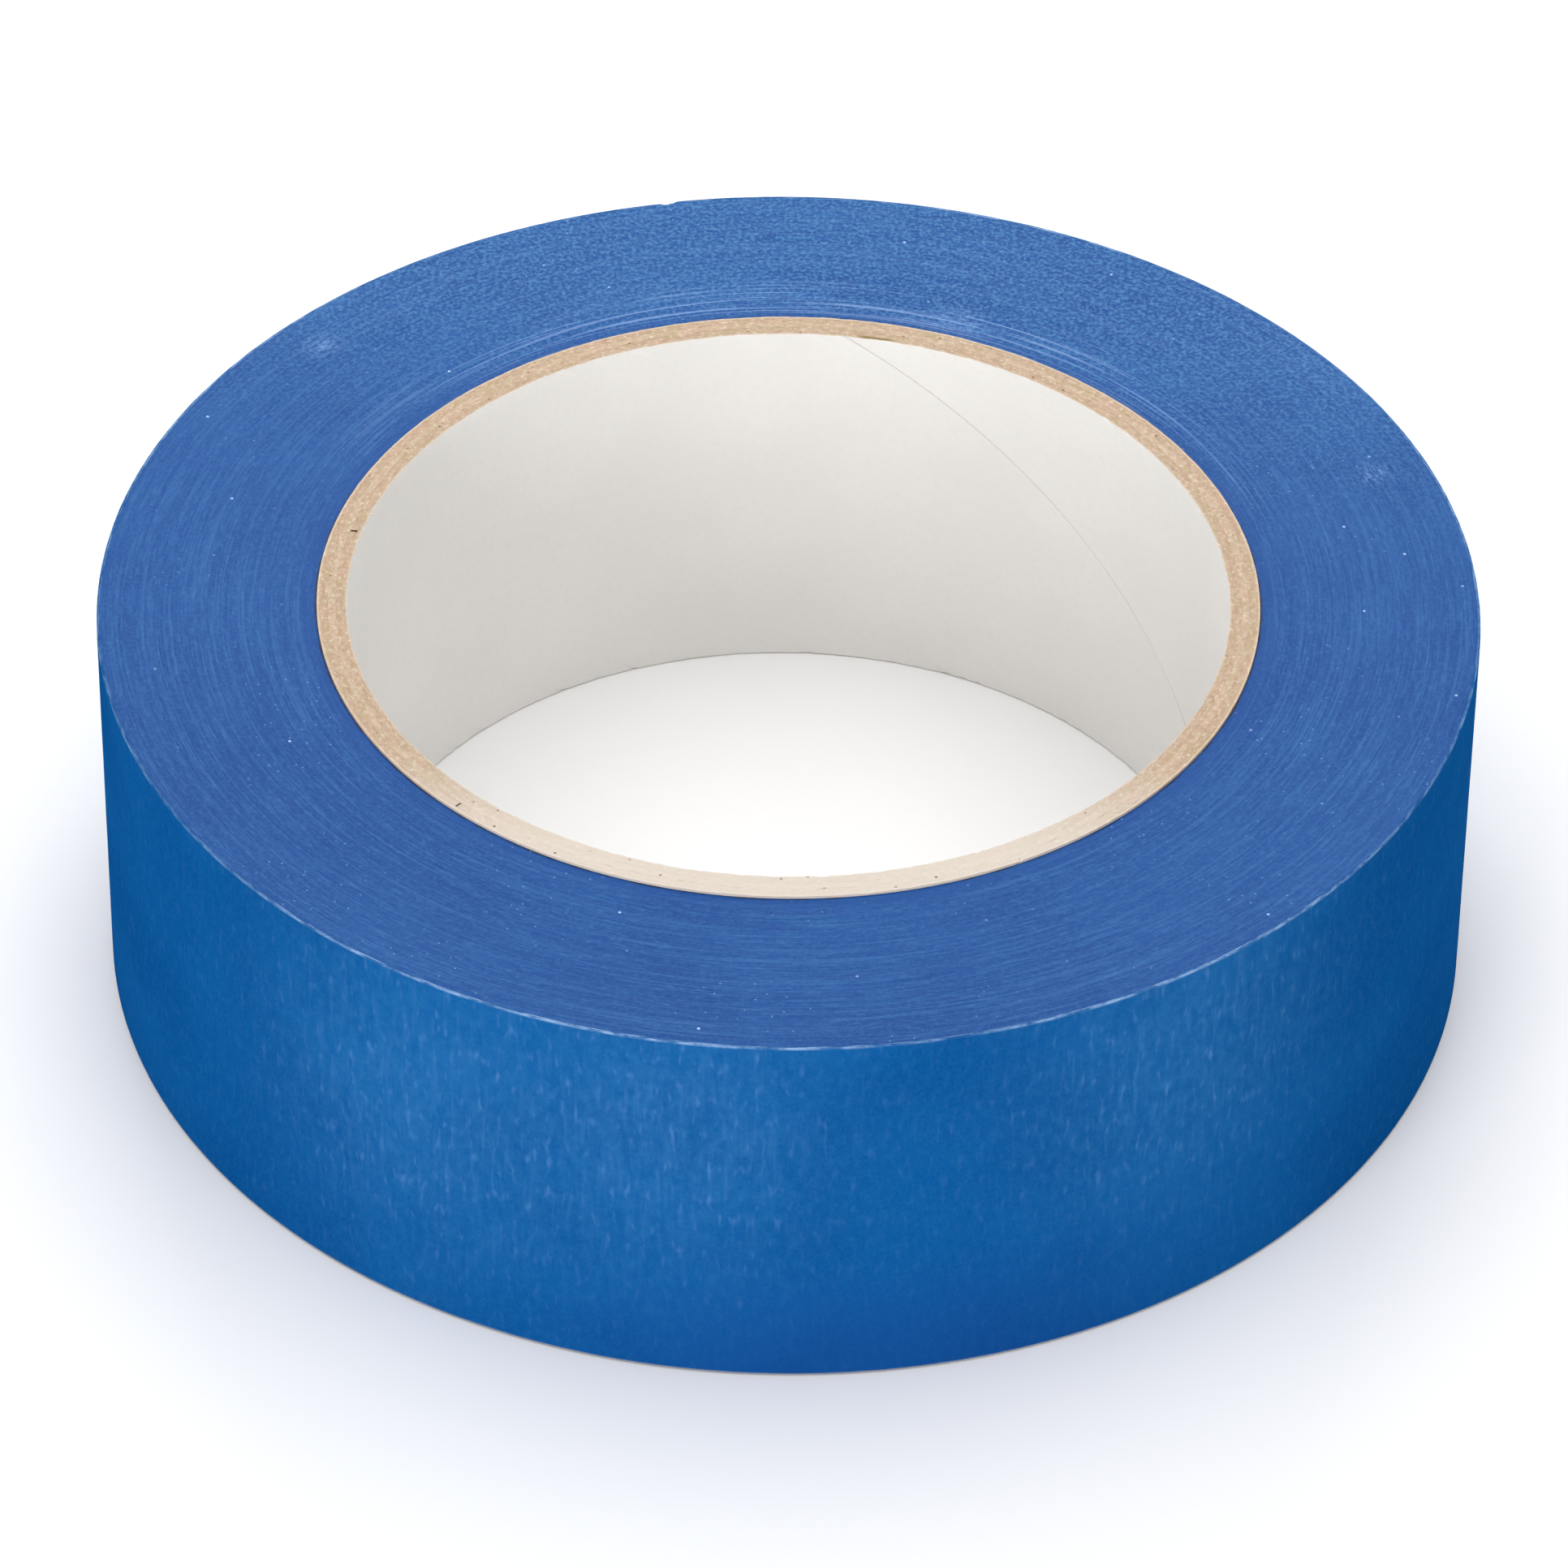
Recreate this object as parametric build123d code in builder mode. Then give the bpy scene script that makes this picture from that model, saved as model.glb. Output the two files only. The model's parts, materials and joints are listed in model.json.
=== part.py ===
"""Roll of crepe-paper masking tape on a spiral-wound paperboard core, in millimetres.

The roll lies on its side: +Z runs along the bore, the origin is on the bore's axis where the core's
lower end stands. The core is five plies of board, each closed by a slanting butt joint. The tape is one
strip, wound outwards anticlockwise seen from above. Its outermost turn is a part of its own, and the last
stretch before the cut end is a chain of short links that peels off the roll.
"""

import os
from math import cos, pi, radians, sin, sqrt, tan

from build123d import *

# Tape
TAPE_WIDTH = 36.0
TAPE_THICKNESS = 0.12  # crepe backing and adhesive together
TAPE_LENGTH = 50_000.0
END_AZIMUTH = 101.0  # degrees anticlockwise from +X to the cut end
FREE_GAP = 0.012  # a link's underside stands this far off the turn below

# Peeling end
LINKS = 8
LINK_ANGLE = 6.0  # degrees of the roll's rim that one link covers

# Core
BORE_RADIUS = 38.1  # 3 inch bore
CORE_LENGTH = 36.5
SEAM_SLANT = 59.0  # degrees between a ply's butt joint and the bore's axis
SEAM_GAP = 0.15
PLIES = {  # thickness, then the azimuth of the butt joint at the core's lower end
    "core_liner": (0.40, 352.0),
    "core_inner_ply": (0.60, 78.0),
    "core_middle_ply": (0.65, 285.0),
    "core_outer_ply": (0.65, 140.0),
    "core_wrapper": (0.30, 213.0),
}

CORE_RADIUS = BORE_RADIUS + sum(thickness for thickness, _ in PLIES.values())
ROLL_RADIUS = sqrt(CORE_RADIUS**2 + TAPE_LENGTH * TAPE_THICKNESS / pi)
TAPE_BASE = (CORE_LENGTH - TAPE_WIDTH) / 2  # the core stands proud of the tape at both ends
FREE_ANGLE = LINKS * LINK_ANGLE
QUARTERS = 4


def spoke(azimuth):
    """The unit vector at an azimuth in degrees."""
    return Vector(cos(radians(azimuth)), sin(radians(azimuth)), 0)


def quarter_centre(quarter):
    """Centre of one of the four arcs that draw a turn of the spiral, counted back from the cut end.

    The centres are the corners of a square of a quarter of the tape's thickness, so that the radius falls by
    the thickness in one turn and neighbouring arcs stay tangent.
    """
    side = TAPE_THICKNESS / QUARTERS
    centre = (spoke(END_AZIMUTH) + spoke(END_AZIMUTH + 90)) * (side / 2)
    for k in range(quarter):
        centre += spoke(END_AZIMUTH - 90 * (k + 1)) * side
    return centre


def turn_arcs(depth, start_angle, end_angle):
    """Arcs along a turn, depth below the outermost surface, between two angles back from the cut end."""
    for quarter in range(QUARTERS):
        low = max(start_angle, 90 * quarter)
        high = min(end_angle, 90 * (quarter + 1))
        if high > low:
            radius = ROLL_RADIUS - quarter * TAPE_THICKNESS / QUARTERS - depth
            CenterArc(quarter_centre(quarter), radius, END_AZIMUTH - high, high - low)


def turn_point(depth, angle):
    """Point on a turn, depth below the outermost surface, at an angle back from the cut end."""
    quarter = min(int(angle // 90), QUARTERS - 1)
    radius = ROLL_RADIUS - quarter * TAPE_THICKNESS / QUARTERS - depth
    return quarter_centre(quarter) + spoke(END_AZIMUTH - angle) * radius


def strip(name, start_angle, end_angle, depth_below):
    """A stretch of the outermost turn, from its outer surface down to depth_below."""
    with BuildPart() as piece:
        with BuildSketch(Plane.XY.offset(TAPE_BASE)):
            with BuildLine():
                turn_arcs(0, start_angle, end_angle)
                turn_arcs(depth_below, start_angle, end_angle)
                Line(turn_point(0, start_angle), turn_point(depth_below, start_angle))
                Line(turn_point(0, end_angle), turn_point(depth_below, end_angle))
            make_face()
        extrude(amount=TAPE_WIDTH)
    piece.part.label = name
    return piece.part


def winding():
    """Every turn but the outermost, with the step where the outermost turn runs on from it."""
    with BuildPart() as piece:
        with BuildSketch(Plane.XY.offset(TAPE_BASE)):
            with BuildLine():
                turn_arcs(TAPE_THICKNESS, 0, 360)
                Line(turn_point(TAPE_THICKNESS, 0), turn_point(TAPE_THICKNESS, 360))
            make_face()
            Circle(CORE_RADIUS, mode=Mode.SUBTRACT)
        extrude(amount=TAPE_WIDTH)
    piece.part.label = "tape_winding"
    return piece.part


def core_ply(name, inner_radius, thickness, seam_azimuth):
    """A ring of board, cut through by the slanting butt joint between the edges of its strip."""
    overrun = 2.0
    middle = inner_radius + thickness / 2
    pitch = 2 * pi * middle / tan(radians(SEAM_SLANT))
    start = Plane(origin=(0, 0, 0), x_dir=spoke(seam_azimuth), z_dir=(0, 0, 1))
    with BuildPart(start) as ply:
        with BuildSketch():
            Circle(inner_radius + thickness)
            Circle(inner_radius, mode=Mode.SUBTRACT)
        extrude(amount=CORE_LENGTH)
        with BuildLine() as seam:
            Helix(pitch, CORE_LENGTH + 2 * overrun, middle, center=(0, 0, -overrun))
        with BuildSketch(Plane(origin=seam.line @ 0, x_dir=start.x_dir, z_dir=seam.line % 0)):
            Rectangle(4 * thickness, SEAM_GAP)
        sweep(path=seam.line, is_frenet=True, mode=Mode.SUBTRACT)
    ply.part.label = name
    return ply.part


def core():
    """The plies from the bore outwards."""
    plies = []
    inner_radius = BORE_RADIUS
    for name, (thickness, seam_azimuth) in PLIES.items():
        plies.append(core_ply(name, inner_radius, thickness, seam_azimuth))
        inner_radius += thickness
    return plies


def peeling_end():
    """The links of the free end, numbered from the one that hangs on the roll to the cut end."""
    return [
        strip(
            f"tape_end_{number}",
            FREE_ANGLE - number * LINK_ANGLE,
            FREE_ANGLE - (number - 1) * LINK_ANGLE,
            TAPE_THICKNESS - FREE_GAP,
        )
        for number in range(1, LINKS + 1)
    ]


os.makedirs("parts", exist_ok=True)
pieces = [
    *core(),
    winding(),
    strip("tape_outer_turn", FREE_ANGLE, 360, TAPE_THICKNESS),
    *peeling_end(),
]
for piece in pieces:
    export_step(piece, f"parts/{piece.label}.step")

print(f"roll radius {ROLL_RADIUS:.4f}, core radius {CORE_RADIUS:.3f}")
print(f"turns {(ROLL_RADIUS - CORE_RADIUS) / TAPE_THICKNESS:.1f}")
for number in range(1, LINKS + 1):
    hinge = turn_point(0, FREE_ANGLE - (number - 1) * LINK_ANGLE)
    print(f"hinge {number}: {hinge.X / 1000:.7f}, {hinge.Y / 1000:.7f}")
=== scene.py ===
"""Looks of the masking tape roll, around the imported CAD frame.

The core's plies are rebuilt with rough cut ends and helical seams. The tape is rebuilt as what it is, one
strip wound in a spiral: three bands of turns, the turn under the outermost, the outermost turn and the end
that peels.
"""

import json
from math import cos, hypot, pi, radians, sin, tan

import bpy
import numpy as np
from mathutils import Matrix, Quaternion, Vector


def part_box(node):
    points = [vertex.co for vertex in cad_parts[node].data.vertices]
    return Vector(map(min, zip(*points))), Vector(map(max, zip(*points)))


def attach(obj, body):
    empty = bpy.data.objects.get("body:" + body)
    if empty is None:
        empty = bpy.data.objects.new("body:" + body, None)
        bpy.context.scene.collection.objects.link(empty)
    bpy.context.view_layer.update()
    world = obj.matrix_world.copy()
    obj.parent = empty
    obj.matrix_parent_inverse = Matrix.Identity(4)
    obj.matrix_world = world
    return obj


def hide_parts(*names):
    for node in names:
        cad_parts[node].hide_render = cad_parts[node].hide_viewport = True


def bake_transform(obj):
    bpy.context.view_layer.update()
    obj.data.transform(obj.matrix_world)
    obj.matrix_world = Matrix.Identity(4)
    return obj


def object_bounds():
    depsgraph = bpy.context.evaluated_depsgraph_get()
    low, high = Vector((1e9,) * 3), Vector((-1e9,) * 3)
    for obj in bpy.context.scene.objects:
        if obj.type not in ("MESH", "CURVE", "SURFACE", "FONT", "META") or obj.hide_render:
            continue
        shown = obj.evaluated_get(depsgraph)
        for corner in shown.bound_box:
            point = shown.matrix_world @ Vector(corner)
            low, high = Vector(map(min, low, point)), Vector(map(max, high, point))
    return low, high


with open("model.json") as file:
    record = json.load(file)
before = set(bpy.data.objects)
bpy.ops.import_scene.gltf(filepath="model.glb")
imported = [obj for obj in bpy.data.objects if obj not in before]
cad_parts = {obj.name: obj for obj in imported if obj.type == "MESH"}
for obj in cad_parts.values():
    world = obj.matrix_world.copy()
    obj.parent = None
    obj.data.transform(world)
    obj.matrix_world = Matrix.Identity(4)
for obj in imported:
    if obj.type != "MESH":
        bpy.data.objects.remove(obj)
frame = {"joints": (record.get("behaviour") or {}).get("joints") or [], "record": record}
cad_low, cad_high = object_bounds()

MM = 0.001
FULL_TURN = 2 * pi

# What the frame says
joints = frame["joints"]
mounts = {mount["name"]: mount for mount in frame["record"]["mounts"]}
CORE_BOTTOM, CORE_TOP = (corner.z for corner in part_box("core_liner"))
TAPE_BOTTOM, TAPE_TOP = (corner.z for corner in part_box("tape_winding"))
TAPE_MIDDLE = (TAPE_BOTTOM + TAPE_TOP) / 2
HALF_WIDTH_MM = (TAPE_TOP - TAPE_BOTTOM) / 2 / MM
BORE_RADIUS = mounts["bore"]["dims"]["r_mm"] * MM

# The tape, as in part.py
TAPE_THICKNESS = 0.12 * MM
END_AZIMUTH = radians(101.0)
LINK_ANGLE = radians(6.0)
FREE_GAP = 0.012 * MM
FREE_ANGLE = len(joints) * LINK_ANGLE
last_hinge = joints[-1]["pos_m"]
ROLL_RADIUS = hypot(last_hinge[0], last_hinge[1]) + TAPE_THICKNESS * LINK_ANGLE / FULL_TURN
STRIP_END = 3 * FULL_TURN * ROLL_RADIUS  # lengths along the strip are counted up to its cut end

# The core, as in part.py
SEAM_SLANT = radians(59.0)
SEAM_GAPS = {"core_liner": 0.04 * MM}  # the liner's joint is pressed almost shut
OTHER_SEAM_GAP = 0.15 * MM
SEAM_AZIMUTHS = {
    "core_liner": radians(352.0),
    "core_inner_ply": radians(78.0),
    "core_middle_ply": radians(285.0),
    "core_outer_ply": radians(140.0),
    "core_wrapper": radians(213.0),
}


# ---------------------------------------------------------------- shapes in numbers


def lumps(x, y, seed):
    """Smooth random heights from -1 to 1 over x and y, neither negative, about one lump per unit."""
    rng = np.random.default_rng(seed)
    lattice = rng.uniform(-1, 1, (int(np.max(x)) + 2, int(np.max(y)) + 2))
    x_cell, y_cell = np.floor(x).astype(int), np.floor(y).astype(int)
    x_part, y_part = x - x_cell, y - y_cell
    x_part = x_part**2 * (3 - 2 * x_part)
    y_part = y_part**2 * (3 - 2 * y_part)
    near = lattice[x_cell, y_cell] * (1 - x_part) + lattice[x_cell + 1, y_cell] * x_part
    far = lattice[x_cell, y_cell + 1] * (1 - x_part) + lattice[x_cell + 1, y_cell + 1] * x_part
    return near * (1 - y_part) + far * y_part


def cylindrical(radius, azimuth, height):
    """Points from cylinder coordinates, as an array with x, y, z last."""
    radius, azimuth, height = np.broadcast_arrays(radius, azimuth, height)
    return np.stack([radius * np.cos(azimuth), radius * np.sin(azimuth), height], axis=-1)


def mesh_object(name, points, faces, grain, materials, face_materials, sharp=35):
    """An object from points and faces, smooth but for edges folded by more than sharp degrees.

    grain holds each point's grain coordinates, which the materials follow.
    """
    mesh = bpy.data.meshes.new(name)
    mesh.from_pydata(points.reshape(-1, 3).tolist(), [], [list(map(int, face)) for face in faces])
    for material in materials:
        mesh.materials.append(material)
    mesh.polygons.foreach_set("material_index", np.asarray(face_materials, np.int32))
    attribute = mesh.attributes.new("grain", "FLOAT_VECTOR", "POINT")
    attribute.data.foreach_set("vector", grain.reshape(-1).astype(np.float32))
    mesh.shade_smooth()
    mesh.set_sharp_from_angle(angle=radians(sharp))
    mesh.update()
    made = bpy.data.objects.new(name, mesh)
    bpy.context.scene.collection.objects.link(made)
    return made


def swept_faces(columns, loop):
    """Quads along a closed loop of points swept through columns, and each quad's place in the loop."""
    column = np.arange(columns - 1)[:, None]
    place = np.arange(loop)[None, :]
    above = (place + 1) % loop
    corners = [
        column * loop + place,
        (column + 1) * loop + place,
        (column + 1) * loop + above,
        column * loop + above,
    ]
    quads = np.stack(np.broadcast_arrays(*corners), axis=-1).reshape(-1, 4)
    return quads, np.tile(np.arange(loop), columns - 1)


# ---------------------------------------------------------------- materials


def srgb(red, green, blue):
    """A colour given as 0 to 255, in the linear values that shaders take."""

    def linear(value):
        value /= 255
        return value / 12.92 if value <= 0.04045 else ((value + 0.055) / 1.055) ** 2.4

    return (linear(red), linear(green), linear(blue), 1.0)


class Shader:
    """A material under construction: each method adds nodes and returns their output."""

    def __init__(self, name):
        self.material = bpy.data.materials.new(name)
        self.material.use_nodes = True
        self.tree = self.material.node_tree
        self.surface = self.tree.nodes["Principled BSDF"]

    def _node(self, kind, values=(), **settings):
        node = self.tree.nodes.new(kind)
        for key, value in settings.items():
            setattr(node, key, value)
        for key, value in values:
            if isinstance(value, bpy.types.NodeSocket):
                self.tree.links.new(value, node.inputs[key])
            else:
                node.inputs[key].default_value = value
        return node

    def grain(self, along, across, depth):
        """The piece's grain coordinates, with so many pattern cells per millimetre each way."""
        source = self._node("ShaderNodeAttribute", attribute_name="grain")
        values = [(0, source.outputs["Vector"]), (1, (along, across, depth))]
        return self._node("ShaderNodeVectorMath", values, operation="MULTIPLY").outputs[0]

    def grain_mm(self, axis):
        """One of the grain coordinates, in millimetres; what the third is depends on the piece."""
        return self.part(self.grain(1, 1, 1), axis)

    def place(self, cells_per_mm):
        """Positions in the object's own frame, with so many pattern cells per millimetre."""
        source = self._node("ShaderNodeTexCoord")
        values = [(0, source.outputs["Object"]), (3, cells_per_mm / MM)]
        return self._node("ShaderNodeVectorMath", values, operation="SCALE").outputs[0]

    def place_mm(self, axis):
        """One coordinate in the object's own frame, in millimetres."""
        return self.part(self.place(1), axis)

    def part(self, vector, axis):
        """One of a vector's coordinates."""
        return self._node("ShaderNodeSeparateXYZ", [(0, vector)]).outputs[axis]

    def apart(self, vector, point):
        """The distance between a vector and a fixed point."""
        values = [(0, vector), (1, point)]
        return self._node("ShaderNodeVectorMath", values, operation="DISTANCE").outputs["Value"]

    def noise(self, vector, detail=2.0, roughness=0.5):
        """Smooth noise, nearly all of it from 0.25 to 0.75."""
        values = [("Vector", vector), ("Scale", 1.0), ("Detail", detail), ("Roughness", roughness)]
        return self._node("ShaderNodeTexNoise", values).outputs["Fac"]

    def specks(self, cells_per_mm, size):
        """1 inside small round dots scattered over x and y, about one to a cell, and 0 outside.

        size is the dots' radius, in cells.
        """
        values = [("Vector", self.place(cells_per_mm)), ("Scale", 1.0), ("Randomness", 1.0)]
        node = self._node("ShaderNodeTexVoronoi", values, voronoi_dimensions="2D")
        return self.span(node.outputs["Distance"], size, 0.6 * size)

    def span(self, value, low, high, to_low=0.0, to_high=1.0):
        """value eased from to_low at low to to_high at high."""
        values = [(0, value), (1, low), (2, high), (3, to_low), (4, to_high)]
        node = self._node("ShaderNodeMapRange", values, interpolation_type="SMOOTHSTEP")
        return node.outputs[0]

    def times(self, first, second):
        return self._node("ShaderNodeMath", [(0, first), (1, second)], operation="MULTIPLY").outputs[0]

    def plus(self, first, second):
        return self._node("ShaderNodeMath", [(0, first), (1, second)], operation="ADD").outputs[0]

    def mix(self, factor, first, second):
        """first painted over with second, by the share factor."""
        node = self._node("ShaderNodeMix", data_type="RGBA")
        for socket, value in zip((node.inputs[0], node.inputs[6], node.inputs[7]), (factor, first, second)):
            if isinstance(value, bpy.types.NodeSocket):
                self.tree.links.new(value, socket)
            else:
                socket.default_value = value
        return node.outputs[2]

    def bump(self, height, depth_mm, below=None):
        """A normal for a relief depth_mm deep, on top of the relief below."""
        values = [("Height", height), ("Strength", 1.0), ("Distance", depth_mm * MM)]
        if below is not None:
            values.append(("Normal", below))
        return self._node("ShaderNodeBump", values).outputs[0]

    def finish(self, colour, roughness, normal=None, specular=0.3):
        """Connects the surface and returns the material."""
        surface = self.surface.inputs
        self.tree.links.new(colour, surface["Base Color"])
        if isinstance(roughness, bpy.types.NodeSocket):
            self.tree.links.new(roughness, surface["Roughness"])
        else:
            surface["Roughness"].default_value = roughness
        if normal is not None:
            self.tree.links.new(normal, surface["Normal"])
        surface["Specular IOR Level"].default_value = specular
        return self.material


# The crepe's grain coordinates: millimetres along the strip, millimetres up from the middle of its width, and
# how much handling has rubbed it and painted sheen lightens it, from 0 to 1.
CREPE_CLOUDS = srgb(2, 70, 132), srgb(6, 78, 141)
CREPE_RIDGE = srgb(20, 92, 152)
CREPE_MOTTLE = srgb(34, 102, 158)
CREPE_NAP = srgb(40, 104, 160)
CREPE_RUBBED_AND_SHEEN = srgb(60, 124, 178)
CREPE_STREAK = srgb(84, 134, 186)
CREPE_FLECK = srgb(92, 138, 194)
CREPE_PAINTED_SHADE = srgb(22, 62, 130)
CUT_FIBRES = srgb(120, 160, 204)
TORN_FIBRES = srgb(148, 180, 220)
PAINTED_SHADE_FROM, PAINTED_SHADE_TO = (-30, 4), (14, 42)  # x in mm over which the stretch of painted shade sets in and fades
PAINTED_SHADE_HEIGHT = (1, 16)  # mm above the lower rim over which it fades
CUT_LINE = (0.3, 0.1)  # mm before the cut end over which its pale line sets in
UPPER_FIBRES = (0.34, 0.04)  # mm below the upper rim over which its torn fibres set in
LOWER_FIBRES = (0.04, 0.2)  # mm above the lower rim over which its torn fibres fade


def crepe_paper(s, ridges, mottle):
    """The crepe's own blue: clouds of two near shades under its ridges, a mottling and a fine nap."""
    clouds = s.noise(s.grain(0.045, 0.06, 0), 2.0)
    nap = s.noise(s.grain(3.4, 2.8, 0), 2.0)
    colour = s.mix(s.span(clouds, 0.35, 0.65), *CREPE_CLOUDS)
    colour = s.mix(s.span(ridges, 0.3, 0.7, 0.0, 0.15), colour, CREPE_RIDGE)
    colour = s.mix(s.span(mottle, 0.45, 0.8, 0.0, 0.18), colour, CREPE_MOTTLE)
    return s.mix(s.span(nap, 0.3, 0.7, 0.0, 0.15), colour, CREPE_NAP)


def crepe_wear_and_sheen(s, colour, handled_and_sheen, mottle):
    """What handling and painted sheen leave on the crepe: a pale rubbed film, soft streaks up the wall and
    paler flecks.
    """
    smears = s.noise(s.grain(0.6, 0.16, 0), 3.0, 0.6)
    streaks = s.noise(s.grain(1.7, 0.2, 0), 2.0, 0.5)
    flecks = s.noise(s.grain(1.6, 0.55, 0), 1.5, 0.4)
    rubbed_film_and_sheen = s.times(handled_and_sheen, s.span(s.plus(mottle, smears), 0.65, 1.35, 0.35, 1.0))
    colour = s.mix(s.times(rubbed_film_and_sheen, 0.32), colour, CREPE_RUBBED_AND_SHEEN)
    streaked = s.times(s.span(streaks, 0.50, 0.80), s.span(handled_and_sheen, 0, 1, 0.02, 0.17))
    colour = s.mix(streaked, colour, CREPE_STREAK)
    flecked = s.times(s.span(flecks, 0.55, 0.90), s.span(handled_and_sheen, 0, 1, 0.10, 0.46))
    return s.mix(flecked, colour, CREPE_FLECK)


def crepe_painted_shade(s, colour, height):
    """Painted shade: a darker stretch low on the -Y side."""
    across = s.place_mm(0)
    shaded = s.times(s.span(across, *PAINTED_SHADE_FROM), s.span(across, *PAINTED_SHADE_TO, 1.0, 0.1))
    low, high = (rise - HALF_WIDTH_MM for rise in PAINTED_SHADE_HEIGHT)
    return s.mix(s.times(shaded, s.span(height, low, high, 0.48, 0.0)), colour, CREPE_PAINTED_SHADE)


def crepe_edges(s, colour, height, handled_and_sheen):
    """The pale line of the cut end, and torn fibres that come and go along the two rims."""
    before, at = (STRIP_END / MM - distance for distance in CUT_LINE)
    colour = s.mix(s.span(s.grain_mm(0), before, at, 0.0, 0.5), colour, CUT_FIBRES)
    torn = s.span(s.noise(s.grain(0.30, 0.5, 0), 4.0, 0.65), 0.40, 0.62, 0.10, 1.0)
    torn = s.times(torn, s.span(handled_and_sheen, 0.0, 0.5, 0.40, 0.85))
    below, at = (HALF_WIDTH_MM - distance for distance in UPPER_FIBRES)
    upper = s.times(s.span(height, below, at), torn)
    at, above = (distance - HALF_WIDTH_MM for distance in LOWER_FIBRES)
    lower = s.times(s.span(height, at, above, 0.25, 0.0), torn)
    return s.mix(s.plus(upper, lower), colour, TORN_FIBRES)


def crepe_material():
    """The tape's outer face: saturated crepe paper, its ridges rubbed pale and given a painted sheen in
    patches, with painted shade low on the -Y side.
    """
    s = Shader("crepe_tape")
    ridges = s.noise(s.grain(2.0, 0.5, 0), 3.0, 0.55)
    mottle = s.noise(s.grain(1.1, 0.8, 0), 3.0, 0.6)
    height, handled_and_sheen = s.grain_mm(1), s.grain_mm(2)
    colour = crepe_paper(s, ridges, mottle)
    colour = crepe_wear_and_sheen(s, colour, handled_and_sheen, mottle)
    colour = crepe_painted_shade(s, colour, height)
    colour = crepe_edges(s, colour, height, handled_and_sheen)
    normal = s.bump(mottle, 0.015, s.bump(ridges, 0.02))
    return s.finish(colour, 0.7, normal, specular=0.0)


ADHESIVE_CLOUDS = srgb(80, 130, 186), srgb(104, 148, 198)
ADHESIVE_RIDGE = srgb(62, 114, 178)


def adhesive_material():
    """The tape's sticky side: a glossier, milky blue."""
    s = Shader("tape_adhesive")
    ridges = s.noise(s.grain(2.0, 0.34, 0), 4.0, 0.6)
    clouds = s.noise(s.grain(0.2, 0.2, 0), 4.0)
    colour = s.mix(s.span(clouds, 0.3, 0.7), *ADHESIVE_CLOUDS)
    colour = s.mix(s.span(ridges, 0.3, 0.7, 0.0, 0.5), colour, ADHESIVE_RIDGE)
    return s.finish(colour, s.span(clouds, 0.3, 0.7, 0.24, 0.36), s.bump(ridges, 0.03), specular=0.5)


# The wound edge's grain coordinates: a circle round the roll, in millimetres, and the radius in millimetres.
EDGE_CLOUDS = srgb(20, 71, 138), srgb(25, 78, 144)
RING_LIGHT, RING_DARK = srgb(64, 116, 174), srgb(12, 58, 128)
FROSTED_SHEEN = srgb(80, 134, 180)
SCUFF = srgb(132, 164, 212)
BESIDE_CORE_SHADE = srgb(20, 70, 138)
CREVICE_SHADOW = srgb(44, 42, 58)
DUST = srgb(164, 194, 234)
FINE_DUST = srgb(150, 184, 228)
SHEEN_FROM = (5.0, 54.0)  # mm towards the +Y side over which the painted sheen builds up
SCUFFED_TO = (43.0, 47.5)  # radii in mm over which the scuffs beside the core fade
BESIDE_CORE_SHADE_TO = (41.3, 42.7)  # and over which the painted shade on the first turns does
CREVICE_SHADOW_TO = (40.78, 41.0)  # and over which the painted contact shadow in the crevice against the core does
SMUDGES = [  # x, y and radius in mm of pale smudges on the upper side face
    (14.7, 40.4, 4.0),
    (-42.0, 35.8, 2.6),
    (51.3, 18.5, 2.4),
]


def wound_rings(s, dashes):
    """The cut edges of the turns: two near blues, with light and dark arcs of three lengths."""
    clouds = s.noise(s.place(0.07), 3.0)
    arcs = s.noise(s.grain(0.13, 0.13, 5.4), 1.0, 0.5)
    rings = s.noise(s.grain(0.055, 0.055, 3.6), 2.0, 0.6)
    colour = s.mix(s.span(clouds, 0.35, 0.65), *EDGE_CLOUDS)
    for lines, share in ((dashes, 0.26), (arcs, 0.24), (rings, 0.26)):
        colour = s.mix(s.span(lines, 0.50, 0.74, 0.0, share), colour, RING_LIGHT)
        colour = s.mix(s.span(lines, 0.26, 0.46, share, 0.0), colour, RING_DARK)
    return colour


def wound_wear(s, colour, radius, dashes, nap):
    """Painted sheen frosting the nap towards +Y, scuffs beside the core that show only under that sheen, and
    smudges.
    """
    backwards = s.plus(s.place_mm(1), s.part(s.place(0.12), 0))
    sheen = s.span(backwards, *SHEEN_FROM)
    frosted_sheen = s.times(s.span(nap, 0.40, 0.70), s.span(sheen, 0, 1, 0.12, 0.66))
    colour = s.mix(frosted_sheen, colour, FROSTED_SHEEN)
    scuffs = s.span(s.noise(s.grain(0.05, 0.05, 4.6), 1.0), 0.54, 0.70, 0.0, 0.75)
    scuffs = s.times(scuffs, s.span(radius, *SCUFFED_TO, 1.0, 0.12))
    colour = s.mix(s.times(scuffs, sheen), colour, SCUFF)
    streaked = s.times(s.span(dashes, 0.35, 0.62), s.span(nap, 0.25, 0.6))
    for x, y, reach in SMUDGES:
        near = s.span(s.apart(s.place(1), (x, y, TAPE_TOP / MM)), 0.0, reach, 0.4, 0.0)
        colour = s.mix(s.times(near, streaked), colour, SCUFF)
    return colour


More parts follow.
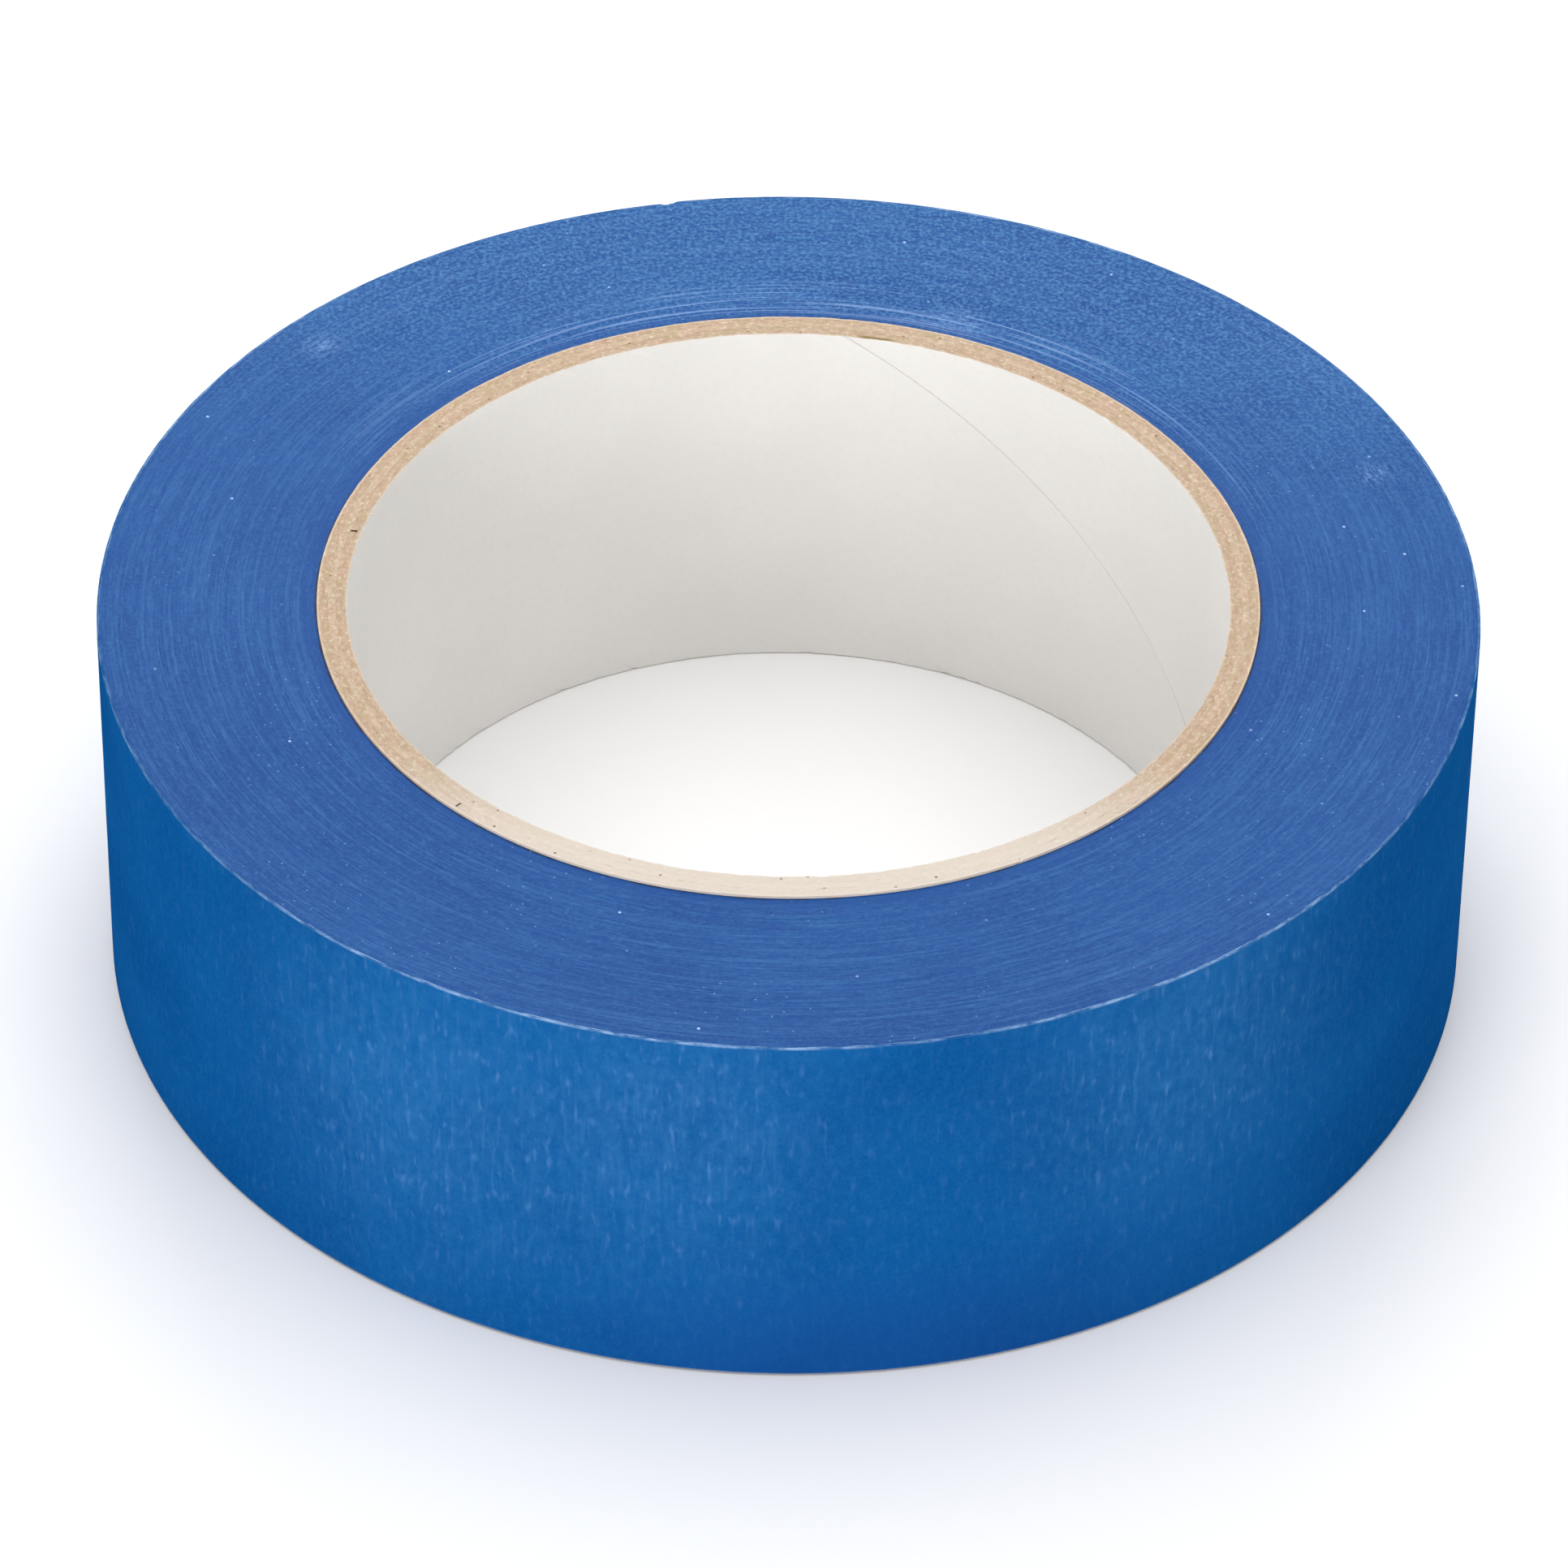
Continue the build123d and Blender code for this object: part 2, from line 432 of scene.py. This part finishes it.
def wound_shade(s, colour, radius):
    """Painted shade: the first turns darker beside the core, and a painted contact shadow in the crevice
    against it.
    """
    colour = s.mix(s.span(radius, *BESIDE_CORE_SHADE_TO, 0.5, 0.0), colour, BESIDE_CORE_SHADE)
    crevice_shadow = s.span(s.noise(s.place(0.35), 3.0, 0.6), 0.44, 0.58, 0.15, 0.85)
    crevice_shadow = s.times(crevice_shadow, s.span(radius, *CREVICE_SHADOW_TO, 1.0, 0.0))
    return s.mix(crevice_shadow, colour, CREVICE_SHADOW)


def wound_dust(s, colour):
    """Specks of paper dust, coarse and fine, each in its own patches."""
    coarse_patches = s.span(s.noise(s.place(0.25), 1.0), 0.46, 0.62, 0.0, 0.9)
    colour = s.mix(s.times(s.specks(0.11, 0.018), coarse_patches), colour, DUST)
    fine_patches = s.span(s.noise(s.place(0.12), 2.0), 0.48, 0.66, 0.0, 0.36)
    return s.mix(s.times(s.specks(0.5, 0.055), fine_patches), colour, FINE_DUST)


def wound_edge_material():
    """The roll's side faces: the cut edges of the turns, drawn as rings that come and go, with paper dust,
    painted sheen towards +Y and painted shade beside the core.
    """
    s = Shader("wound_tape_edge")
    radius = s.grain_mm(2)
    dashes = s.noise(s.grain(0.85, 0.85, 4.2), 1.0, 0.5)
    nap = s.noise(s.place(2.6), 2.0, 0.6)
    colour = wound_rings(s, dashes)
    colour = wound_wear(s, colour, radius, dashes, nap)
    colour = wound_shade(s, colour, radius)
    colour = wound_dust(s, colour)
    normal = s.bump(dashes, 0.015, s.bump(nap, 0.03))
    return s.finish(colour, 0.5, normal, specular=0.1)


# The board's grain coordinates: millimetres along the ply, millimetres up, and the radius in millimetres.
BOARD_OCHRE, BOARD_PINK = srgb(176, 158, 124), srgb(194, 158, 134)
TUFT_LIGHT, TUFT_DARK = srgb(230, 216, 193), srgb(164, 134, 106)
BOARD_CREAM = srgb(226, 208, 186)
BOARD_PALER_SIDE = srgb(216, 208, 198)
BOARD_SPOT = srgb(118, 94, 66)
GLUE_STAIN = srgb(128, 112, 62)
PALER_SIDE_TO = (-36.0, -20.0)  # y in mm over which the paler -Y side darkens


def board_material(name, dark, light, speckled, cream=None, stained=None):
    """Cut edge of paperboard: short matted fibres, pale and dark, and paler still on the -Y side.

    speckled is the strength of its dark spots. From the first to the second radius in cream, in millimetres,
    it turns to the colour of its smooth face. Between the two lengths in stained, in millimetres along the
    ply, glue has darkened it.
    """
    s = Shader(name)
    fibres = s.noise(s.grain(0.9, 2.0, 1.9), 4.0, 0.65)
    tufts = s.noise(s.grain(2.0, 2.0, 2.4), 3.0, 0.7)
    tint = s.noise(s.grain(0.5, 1.0, 1.2), 2.0)
    colour = s.mix(s.span(fibres, 0.3, 0.7), dark, light)
    colour = s.mix(s.span(tint, 0.36, 0.5, 0.5, 0.0), colour, BOARD_OCHRE)
    colour = s.mix(s.span(tint, 0.5, 0.64, 0.0, 0.3), colour, BOARD_PINK)
    colour = s.mix(s.span(tufts, 0.52, 0.70, 0.0, 0.6), colour, TUFT_LIGHT)
    colour = s.mix(s.span(tufts, 0.32, 0.46, 0.55, 0.0), colour, TUFT_DARK)
    if cream:
        colour = s.mix(s.span(s.grain_mm(2), *cream, 0.0, 0.4), colour, BOARD_CREAM)
    # The board is painted paler towards the -Y side.
    colour = s.mix(s.span(s.place_mm(1), *PALER_SIDE_TO, 0.75, 0.0), colour, BOARD_PALER_SIDE)
    patches = s.span(s.noise(s.grain(0.21, 0.3, 0.3), 1.0), 0.50, 0.6)
    spots = s.times(s.specks(0.4, 0.06), patches)
    colour = s.mix(s.times(spots, speckled), colour, BOARD_SPOT)
    if stained:
        along, (start, end) = s.grain_mm(0), stained
        stain = s.times(s.span(along, start, start + 1), s.span(along, end - 1, end, 0.8, 0.0))
        colour = s.mix(stain, colour, GLUE_STAIN)
    return s.finish(colour, 0.9, s.bump(tufts, 0.06), specular=0.1)


def liner_material():
    """The smooth pale grey paper on the bore's wall."""
    s = Shader("liner_paper")
    clouds = s.noise(s.grain(0.06, 0.06, 0), 3.0)
    fibres = s.noise(s.grain(1.4, 1.4, 0), 4.0, 0.6)
    colour = s.mix(s.span(clouds, 0.3, 0.7), srgb(227, 225, 222), srgb(231, 229, 226))
    colour = s.mix(s.span(fibres, 0.4, 0.8, 0.0, 0.3), colour, srgb(220, 217, 214))
    return s.finish(colour, 0.85, s.bump(fibres, 0.008), specular=0.1)


CREPE = crepe_material()
ADHESIVE = adhesive_material()
WOUND_EDGE = wound_edge_material()
LINER = liner_material()
LINER_EDGE = board_material(
    "liner_paper_edge",
    srgb(172, 150, 129),
    srgb(192, 172, 153),
    speckled=0.7,
    cream=(38.3, 38.15),
    stained=(296.5, 300.5),  # beside the liner's seam, at its upper end
)
TAN_EDGE = board_material("tan_board_edge", srgb(172, 147, 124), srgb(192, 171, 150), speckled=0.9)
PALE_EDGE = board_material("pale_board_edge", srgb(178, 156, 134), srgb(199, 179, 158), speckled=0.7)
WRAPPER_EDGE = board_material(
    "wrapper_paper_edge", srgb(176, 152, 130), srgb(194, 172, 152), speckled=0.2, cream=(40.46, 40.62)
)


# ---------------------------------------------------------------- core


PLY_COLUMNS = 1000
PLY_ROWS = 40
PLY_END_SAMPLES = 4
CUT_DEPTH = 0.10 * MM  # how deep the saw's tearing goes into the core's cut ends
FRAY_HEIGHT = 0.35 * MM  # how far down the bore its mouth is frayed
FRAY_DEPTH = 0.16 * MM
PAPER_WAVE = 0.012 * MM  # how far the liner's paper stands off flat


def ply_loop(inner, outer):
    """Radius and height of the points round a ply's section: up outside, in, down inside, and out."""
    up = np.linspace(CORE_BOTTOM, CORE_TOP, PLY_ROWS + 1)
    up[1], up[-2] = CORE_BOTTOM + FRAY_HEIGHT, CORE_TOP - FRAY_HEIGHT
    across = np.linspace(outer, inner, PLY_END_SAMPLES + 2)[1:-1]
    radius = np.concatenate([np.full(up.size, outer), across, np.full(up.size, inner), across[::-1]])
    top, bottom = np.full(across.size, CORE_TOP), np.full(across.size, CORE_BOTTOM)
    return radius, np.concatenate([up, top, up[::-1], bottom])


def ply_azimuths(name, middle, height):
    """Azimuth of each point of a ply, a row for each column, from its slanting seam right round to it."""
    around = np.linspace(0, 1, PLY_COLUMNS)[:, None]
    slant = (height - CORE_BOTTOM) * tan(SEAM_SLANT) / middle
    gap = SEAM_GAPS.get(name, OTHER_SEAM_GAP) / cos(SEAM_SLANT) / middle
    return SEAM_AZIMUTHS[name] + slant + gap / 2 + around * (FULL_TURN - gap)


def torn_depth(arc_mm, radius_mm, lift, seed):
    """How deep a ply's cut end is torn; the share lift of the cut's depth is gone everywhere."""
    torn = 0.5 + 0.3 * lumps(arc_mm / 0.9, radius_mm / 0.35, seed)
    torn += 0.2 * lumps(arc_mm / 0.35, radius_mm / 0.2, seed + 1)
    return (lift + np.clip(torn, 0, 1) * (1 - lift)) * CUT_DEPTH


def fray_depth(arc_mm, radius_mm, seed):
    """How far the bore's mouth is frayed back into the liner."""
    coarse = 0.6 * lumps(arc_mm / 0.8, radius_mm / 9, seed)
    fine = 0.5 * lumps(arc_mm / 0.4, radius_mm / 9, seed + 1)
    return FRAY_DEPTH * np.clip(coarse + fine, 0, 1)


def ply_seam_faces(first, flip):
    """The face of a ply's butt joint: quads up its height, and a wider face at each end."""
    rows, extra = PLY_ROWS, PLY_END_SAMPLES
    inner_top = rows + 1 + extra
    inner = [inner_top + rows - row for row in range(rows + 1)]
    top_extra = list(range(rows + 1, rows + 1 + extra))
    bottom_extra = list(range(inner[0] + 1, inner[0] + 1 + extra))
    faces = [[inner[0], *bottom_extra, 0, 1, inner[1]]]
    faces += [[inner[row], row, row + 1, inner[row + 1]] for row in range(1, rows - 1)]
    faces += [[inner[rows - 1], rows - 1, rows, *top_extra, inner[rows]]]
    faces = [[first + place for place in face] for face in faces]
    return [face[::-1] for face in faces] if flip else faces


def ply(name, inner, outer, wall, edge, lift, seed):
    """One ply of the core, a ring cut by its slanting seam, with torn ends."""
    radius, height = ply_loop(inner, outer)
    middle = (inner + outer) / 2
    azimuth = ply_azimuths(name, middle, height)
    arc_mm = (azimuth - azimuth.min()) * middle / MM
    radius_mm = np.broadcast_to(radius / MM, arc_mm.shape)
    height_mm = np.broadcast_to(height / MM, arc_mm.shape)
    at_top = np.isclose(height, CORE_TOP)
    at_bottom = np.isclose(height, CORE_BOTTOM)

    torn = torn_depth(arc_mm, radius_mm, lift, seed)
    heights = height - torn * at_top + torn * at_bottom
    waves = PAPER_WAVE * lumps(arc_mm / 7, height_mm / 9, seed + 2)
    radii = radius + np.where(radius_mm * MM < middle, waves, 0) * (name == "core_liner")
    mouth = (at_top | at_bottom) & np.isclose(radius, BORE_RADIUS)
    radii = radii + fray_depth(arc_mm, radius_mm, seed + 3) * mouth

    quads, places = swept_faces(PLY_COLUMNS, radius.size)
    last = (PLY_COLUMNS - 1) * radius.size
    seams = ply_seam_faces(0, flip=False) + ply_seam_faces(last, flip=True)
    at_end = np.flatnonzero(at_top | at_bottom)
    is_end = np.isin(places, at_end) & np.isin((places + 1) % radius.size, at_end)
    made = mesh_object(
        f"{name}_paper",
        cylindrical(radii, azimuth, heights),
        quads.tolist() + seams,
        np.stack([arc_mm, height_mm, radius_mm], axis=-1),
        [wall, edge],
        np.concatenate([is_end, np.ones(len(seams), bool)]),
    )
    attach(made, "roll")
    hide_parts(name)
    return made


def build_core():
    """The five plies from the bore outwards; returns the radius of the outermost."""
    looks = {  # wall, cut edge, and the share of the cut's depth by which its ends lie low
        "core_liner": (LINER, LINER_EDGE, 0.3),
        "core_inner_ply": (TAN_EDGE, TAN_EDGE, 0.2),
        "core_middle_ply": (PALE_EDGE, PALE_EDGE, 0.0),
        "core_outer_ply": (TAN_EDGE, TAN_EDGE, 0.2),
        "core_wrapper": (WRAPPER_EDGE, WRAPPER_EDGE, 0.1),
    }
    inner = BORE_RADIUS
    for number, (name, (wall, edge, lift)) in enumerate(looks.items()):
        low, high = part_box(name)
        outer = (high.x - low.x) / 2
        ply(name, inner, outer, wall, edge, lift, seed=10 * number)
        inner = outer
    return inner


# ---------------------------------------------------------------- wound tape


RING_SAMPLES = 3  # points across one turn's edge
RING_COLUMNS = 300
BANDS = ("inner", "middle", "outer")
COVERED_TURNS = 2  # the outermost turns, which are strips of their own
EDGE_WAVE = 0.022 * MM  # how far one turn's edge stands above its neighbour's
EDGE_DRIFT = 0.045 * MM  # how far groups of turns drift
GROOVE = 0.018 * MM
CORE_GROOVE = 0.3 * MM  # the first turn dips beside the core
UPPER_SEED, LOWER_SEED = 200, 205
RING_RADIUS_MM = 50.0  # the circle that the rings' grain follows


def edge_drop(turn, seed):
    """How far a turn's edge lies inside the roll's side face; turn counts turns from the outermost."""
    nothing = np.zeros_like(turn)
    quick = 0.5 + 0.5 * lumps(turn / 0.08, nothing, seed)
    slow = 0.5 + 0.5 * lumps(turn / 6.0, nothing, seed + 1)
    return EDGE_WAVE * quick + EDGE_DRIFT * slow


def spiral_grid(rings):
    """Point numbers of a spiral surface, a row for each ring; a ring ends where the next turn's starts.

    The last turn has no turn to run on into, so its rings end in points of their own.
    """
    grid = (rings + 1) * RING_COLUMNS
    index = np.empty((rings + 1, RING_COLUMNS + 1), int)
    index[:, :-1] = np.arange(grid).reshape(rings + 1, RING_COLUMNS)
    tail = rings + 1 - RING_SAMPLES
    index[:tail, -1] = index[RING_SAMPLES:, 0]
    index[tail:, -1] = grid + np.arange(RING_SAMPLES)
    return index


def spiral_places(rings):
    """The ring of each point in a spiral grid, and its share of the way round the turn."""
    ring = np.arange(rings + 1)
    ring_of = np.concatenate([np.repeat(ring, RING_COLUMNS), ring[-RING_SAMPLES:]])
    share = np.arange(RING_COLUMNS) / RING_COLUMNS
    return ring_of, np.concatenate([np.tile(share, rings + 1), np.ones(RING_SAMPLES)])


def spiral_faces(index):
    """Faces of a closed spiral band: both side faces and the walls between them, with their steps."""
    below = index.max() + 1
    here, along = index[:-1, :-1], index[:-1, 1:]
    inward, diagonal = index[1:, :-1], index[1:, 1:]
    upper = np.stack([here, inward, diagonal, along], axis=-1).reshape(-1, 4)
    lower = upper[:, ::-1] + below
    outer_loop = np.concatenate([index[0, :-1], index[RING_SAMPLES:0:-1, 0]])
    inner_loop = np.concatenate([index[-1, :], index[-2 : -1 - RING_SAMPLES : -1, -1]])
    outer_next, inner_next = np.roll(outer_loop, -1), np.roll(inner_loop, -1)
    outer_wall = np.stack([outer_loop, outer_next, outer_next + below, outer_loop + below], axis=-1)
    inner_wall = np.stack([inner_next, inner_loop, inner_loop + below, inner_next + below], axis=-1)
    return np.concatenate([upper, lower, outer_wall, inner_wall])


def wound_band(name, first_turn, turns, core_radius=None):
    """A closed band of the spiral: so many turns, counted inwards from first_turn.

    The first turn on the core lies flat on it, where core_radius is given.
    """
    rings = turns * RING_SAMPLES
    ring_of, share_of = spiral_places(rings)
    turn = first_turn + ring_of // RING_SAMPLES + share_of
    radius = ROLL_RADIUS - TAPE_THICKNESS * (first_turn + ring_of / RING_SAMPLES + share_of)
    if core_radius:
        inward = (ring_of - rings + RING_SAMPLES) / RING_SAMPLES
        outside = ROLL_RADIUS - TAPE_THICKNESS * (first_turn + turns - 1 + share_of)
        radius = np.where(inward > 0, outside + (core_radius - outside) * inward, radius)
    azimuth = END_AZIMUTH - FULL_TURN * share_of
    between = ring_of % RING_SAMPLES == 0
    beside_core = CORE_GROOVE * (ring_of == rings) * bool(core_radius)

    def drop(seed):
        own, outside = edge_drop(turn, seed), edge_drop(turn - 1, seed)
        return np.where(between, (own + outside) / 2 + GROOVE, own) + beside_core

    top = cylindrical(radius, azimuth, TAPE_TOP - drop(UPPER_SEED))
    bottom = cylindrical(radius, azimuth, TAPE_BOTTOM + drop(LOWER_SEED))
    faces = spiral_faces(spiral_grid(rings))
    grain = cylindrical(RING_RADIUS_MM, azimuth, radius / MM)
    made = mesh_object(
        name,
        np.concatenate([top, bottom]),
        faces,
        np.concatenate([grain, grain]),
        [WOUND_EDGE],
        np.zeros(len(faces), int),
        sharp=60,
    )
    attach(made, "roll")
    return made


def build_winding(core_radius):
    """Three bands of turns between the core and the two outermost turns."""
    total = int((ROLL_RADIUS - core_radius) / TAPE_THICKNESS)
    edges = np.linspace(COVERED_TURNS, total, len(BANDS) + 1).round().astype(int).tolist()
    for name, first, last in zip(BANDS[::-1], edges[:-1], edges[1:]):
        innermost = core_radius if last == total else None
        band = wound_band(f"tape_turns_{name}", first, last - first, core_radius=innermost)
        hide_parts("tape_winding")


# ---------------------------------------------------------------- outer turns and the end that peels


CREPE_COLUMN = 0.2 * MM
CREPE_ROWS = 34
CREPE_DEPTH = 0.018 * MM
CREPE_SEED = 300
RIM = 0.012 * MM  # rounding of the strip's long edges
NICK_DEPTH = 0.45 * MM  # the rim is nicked where the tape was cut
NICK_WIDTH = 0.45 * MM
# Patches where the crepe is rubbed pale and given a painted sheen
RUB_AND_SHEEN_HEIGHT = 17 * MM
RUBBED_AND_SHEEN_PATCHES = [  # azimuth of the middle, spread in degrees, and height in mm
    (-122, 14, 22),
    (-98, 12, 27),
    (-56, 15, 28),
    (12, 16, 18),
    (70, 12, 22),
    (150, 18, 20),
]


def crepe_relief(along_mm, across_mm):
    """Depth of the crepe's valleys, 0 to 1: ridges across the tape, of uneven length."""
    ridges = 0.5 + 0.5 * lumps(along_mm / 0.55, across_mm / 3.2, CREPE_SEED)
    fine = 0.5 + 0.5 * lumps(along_mm / 0.42, across_mm / 1.8, CREPE_SEED + 1)
    return 0.65 * ridges + 0.35 * fine


def rubbed_and_sheen(azimuth, height):
    """How much handling has rubbed the crepe pale and painted sheen lightens it, 0 to 1, in patches round the
    roll.
    """
    amount = np.zeros(np.broadcast(azimuth, height).shape)
    for centre, spread, level in RUBBED_AND_SHEEN_PATCHES:
        apart = (np.degrees(azimuth) - centre + 180) % 360 - 180
        rise = (height - TAPE_BOTTOM - level * MM) / RUB_AND_SHEEN_HEIGHT
        amount += np.exp(-((apart / spread) ** 2) - rise**2)
    return np.clip(amount, 0, 1)


def strip_heights(back, turn, up):
    """Height of the points round a strip's section, its long edges uneven and nicked at the cut end."""
    from_end = np.minimum(back, FULL_TURN - back) * ROLL_RADIUS
    nick = NICK_DEPTH * np.exp(-((from_end / NICK_WIDTH) ** 2))
    top = TAPE_TOP - (edge_drop(turn + back / FULL_TURN, UPPER_SEED) + nick)
    bottom = TAPE_BOTTOM + edge_drop(turn + back / FULL_TURN, LOWER_SEED)
    return np.concatenate([np.clip(up, bottom, top), top, top - RIM, bottom + RIM, bottom], axis=1)


def tape_strip(name, back_from, back_to, turn=0, underside_gap=0.0):
    """A stretch of one turn of tape between two angles back from the cut end, as a closed thin strip.

    turn counts whole turns in from the outermost one.
    """
    columns = int((back_from - back_to) * ROLL_RADIUS / CREPE_COLUMN) + 2
    back = np.linspace(back_from, back_to, columns)[:, None]
    up = np.linspace(TAPE_BOTTOM, TAPE_TOP, CREPE_ROWS + 1)[None, :]
    azimuth = END_AZIMUTH - back
    along_mm = (STRIP_END - (turn * FULL_TURN + back) * ROLL_RADIUS) / MM
    relief = crepe_relief(*np.broadcast_arrays(along_mm, (up - TAPE_BOTTOM) / MM))

    surface = ROLL_RADIUS - TAPE_THICKNESS * (turn + back / FULL_TURN)
    underside = surface - TAPE_THICKNESS + underside_gap
    outside = surface - CREPE_DEPTH * relief
    outside[:, [0, -1]] -= RIM
    middle = (surface + underside) / 2
    radius = np.concatenate([outside, middle, underside, underside, middle], axis=1)
    height = strip_heights(back, turn, up)

    loop = radius.shape[1]
    quads, places = swept_faces(columns, loop)
    last = (columns - 1) * loop
    caps = [list(range(loop)), [last + place for place in range(loop)][::-1]]
    sticky = places == CREPE_ROWS + 2
    along = np.broadcast_to(along_mm, radius.shape)
    return mesh_object(
        name,
        cylindrical(radius, azimuth, height),
        quads.tolist() + caps,
        np.stack([along, (height - TAPE_MIDDLE) / MM, rubbed_and_sheen(azimuth, height)], axis=-1),
        [CREPE, ADHESIVE],
        np.concatenate([sticky, [False, False]]),
    )


def build_outer_turns():
    """The turn under the outermost one, and the outermost one up to where its end starts to bend."""
    beneath = tape_strip("tape_turn_beneath", FULL_TURN, 0, turn=1)
    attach(beneath, "roll")
    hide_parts("tape_winding")
    outer = tape_strip("tape_outermost_turn", FULL_TURN, FREE_ANGLE + LINK_ANGLE / 2)
    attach(outer, "roll")
    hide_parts("tape_outer_turn")


def build_peeling_end():
    """The end of the tape: each stretch runs from half a link before its hinge to half a link after it.

    The last stretch runs on to the cut end.
    """
    for joint in joints:
        x, y, _ = joint["pos_m"]
        azimuth = np.arctan2(y, x) % FULL_TURN
        hinge = END_AZIMUTH - azimuth
        start, end = hinge + LINK_ANGLE / 2, hinge - LINK_ANGLE / 2
        stop = 0 if joint is joints[-1] else end
        name = joint["child"].replace("tape_end", "peeling_end")
        piece = tape_strip(name, start, stop, underside_gap=FREE_GAP)
        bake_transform(piece)
        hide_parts(joint["child"])


# ---------------------------------------------------------------- studio


ROOM_STRENGTH = 0.30
FLOOR_REACH = 3.0
FLOOR_DROP = 0.02 * MM  # the floor lies this far below the roll
FLOOR_TONES = (0.93, 0.93, 0.93, 1), (0.95, 0.95, 0.95, 1)
LIGHTS = [  # name, place in metres, size in metres, power in watts; all aim at the roll
    ("overhead", (0, 0, 0.90), (1.4, 1.4), 9.0),
    ("back_strip", (0, 0.30, 0.25), (0.3, 0.10), 0.6),
    ("left_panel", (-0.42, -0.73, 0.22), (0.4, 0.4), 3.65),
    ("right_panel", (0.45, -0.70, 0.22), (0.4, 0.4), 1.5),
]


def build_room():
    """A bright plain room."""
    world = bpy.data.worlds.new("studio")
    world.use_nodes = True
    background = world.node_tree.nodes["Background"].inputs
    background["Color"].default_value = (1, 1, 1, 1)
    background["Strength"].default_value = ROOM_STRENGTH
    bpy.context.scene.world = world
    bpy.context.scene.view_settings.view_transform = "Standard"


def build_floor():
    """A pale floor, just below the roll."""
    s = Shader("floor_paint")
    paint = s.finish(s.mix(s.noise(s.place(0.01)), *FLOOR_TONES), 0.9, specular=0.0)
    mesh = bpy.data.meshes.new("floor")
    signs = [(-1, -1), (1, -1), (1, 1), (-1, 1)]
    mesh.from_pydata([(x * FLOOR_REACH, y * FLOOR_REACH, 0) for x, y in signs], [], [(0, 1, 2, 3)])
    mesh.materials.append(paint)
    floor = bpy.data.objects.new("floor", mesh)
    floor.location.z = cad_low.z - FLOOR_DROP
    bpy.context.scene.collection.objects.link(floor)


def build_lights():
    """Soft lights above and beside the roll."""
    aim = Vector((0, 0, TAPE_MIDDLE))
    for name, place, size, power in LIGHTS:
        data = bpy.data.lights.new(name, "AREA")
        data.shape = "RECTANGLE"
        data.size, data.size_y = size
        data.energy = power
        light = bpy.data.objects.new(name, data)
        light.location = place
        light.rotation_mode = "QUATERNION"
        light.rotation_quaternion = (aim - Vector(place)).to_track_quat("-Z", "Y")
        bpy.context.scene.collection.objects.link(light)


def build_camera():
    """A long lens looking down at the roll from the front, a little off level."""
    elevation, distance, roll = radians(39.09), 0.7664, radians(0.668)
    aim = Vector((-0.0002, -0.00355, (CORE_BOTTOM + CORE_TOP) / 2))
    back = Vector((0, -cos(elevation), sin(elevation)))
    data = bpy.data.cameras.new("camera")
    data.sensor_width = 36.0
    data.lens = 201.5
    data.clip_start, data.clip_end = 0.01, 20.0
    camera = bpy.data.objects.new("camera", data)
    camera.location = aim + back * distance
    camera.rotation_mode = "QUATERNION"
    camera.rotation_quaternion = (-back).to_track_quat("-Z", "Y") @ Quaternion((0, 0, 1), roll)
    bpy.context.scene.collection.objects.link(camera)
    bpy.context.scene.camera = camera


build_camera()
build_room()
build_floor()
build_lights()
core_radius = build_core()
build_winding(core_radius)
build_outer_turns()
build_peeling_end()
